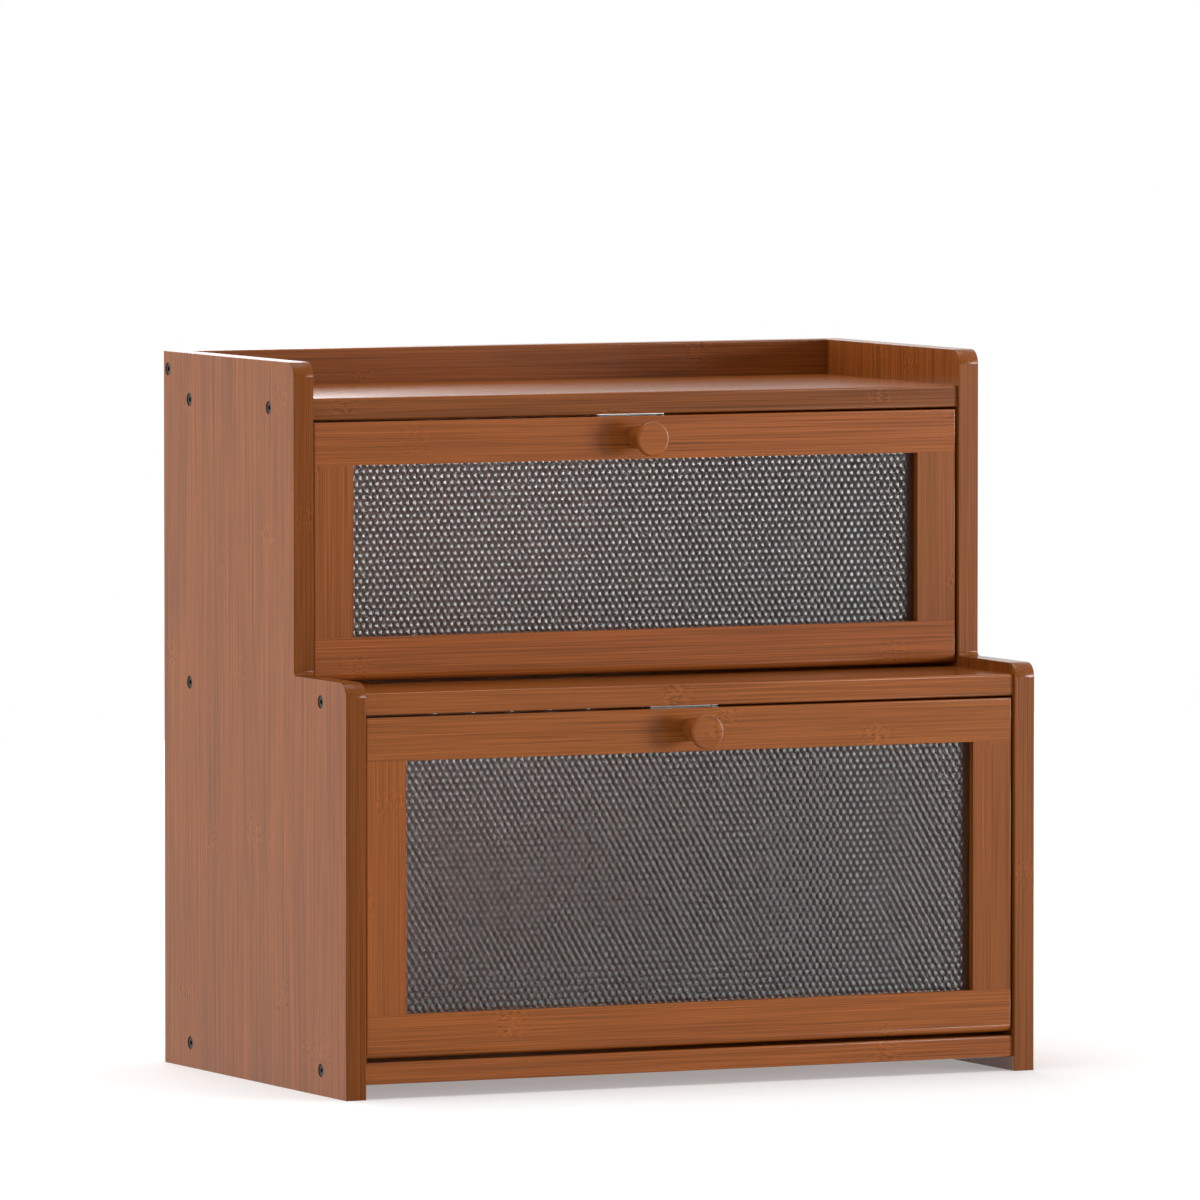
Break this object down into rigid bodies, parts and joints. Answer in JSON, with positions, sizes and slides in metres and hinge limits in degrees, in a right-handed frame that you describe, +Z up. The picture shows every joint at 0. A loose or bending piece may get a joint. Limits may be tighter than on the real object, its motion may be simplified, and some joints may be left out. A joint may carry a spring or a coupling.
{
  "type": "two-tier bread box",
  "caption": "Stepped two-tier bamboo bread box with fold-down doors, embossed clear panes, turned knobs and a rimmed top shelf.",
  "frame": {"origin": "on the counter, under the middle of the bounding box (the lower knob counts in its depth)", "axes": "+X to the right as seen from the front, +Y from the front to the back, +Z up"},
  "size_m": [0.42, 0.268, 0.4],
  "materials": {
    "bamboo_side": "satin varnish, upright grain",
    "bamboo_board": "satin varnish, grain along the board",
    "bamboo_rail": "satin varnish, grain along the rail",
    "bamboo_stile": "satin varnish, upright grain",
    "bamboo_knob": "satin varnish, turned",
    "bamboo_ply": "satin, thin board",
    "dowel_wood": "bare",
    "embossed_acrylic": "clear, embossed with fine staggered points",
    "black_steel": "black oxide",
    "steel": "zinc plated",
    "ferrite": "dark ceramic magnet",
    "catch_plastic": "moulded, pale"
  },
  "bodies": {
    "carcass": {"left_side": "bamboo_side", "right_side": "bamboo_side", "top_board": "bamboo_board", "middle_board": "bamboo_board", "bottom_board": "bamboo_board", "back_rim": "bamboo_board", "upper_back_panel": "bamboo_ply", "lower_back_panel": "bamboo_ply", "left_side_screws": "black_steel", "right_side_screws": "black_steel", "upper_catch_plate": "steel", "upper_catch_case": "catch_plastic", "upper_catch_magnet": "ferrite", "upper_catch_poles": "steel", "upper_catch_screws": "steel", "lower_catch_plate": "steel", "lower_catch_case": "catch_plastic", "lower_catch_magnet": "ferrite", "lower_catch_poles": "steel", "lower_catch_screws": "steel"},
    "upper_door": {"upper_door_top_rail": "bamboo_rail", "upper_door_bottom_rail": "bamboo_rail", "upper_door_left_stile": "bamboo_stile", "upper_door_right_stile": "bamboo_stile", "upper_door_dowels": "dowel_wood", "upper_door_pane": "embossed_acrylic", "upper_door_knob": "bamboo_knob", "upper_door_knob_screw": "steel", "upper_door_strike": "steel", "upper_door_strike_screws": "steel", "upper_door_hinge_pins": "steel"},
    "lower_door": {"lower_door_top_rail": "bamboo_rail", "lower_door_bottom_rail": "bamboo_rail", "lower_door_left_stile": "bamboo_stile", "lower_door_right_stile": "bamboo_stile", "lower_door_dowels": "dowel_wood", "lower_door_pane": "embossed_acrylic", "lower_door_knob": "bamboo_knob", "lower_door_knob_screw": "steel", "lower_door_strike": "steel", "lower_door_strike_screws": "steel", "lower_door_hinge_pins": "steel"}
  },
  "joints": [
    {"name": "upper_door_hinge", "type": "hinge", "parent": "carcass", "child": "upper_door", "pos_m": [0, -0.038, 0.23], "axis": [1, 0, 0], "range_deg": [0, 90]},
    {"name": "lower_door_hinge", "type": "hinge", "parent": "carcass", "child": "lower_door", "pos_m": [0, -0.108, 0.028], "axis": [1, 0, 0], "range_deg": [0, 90]}
  ]
}
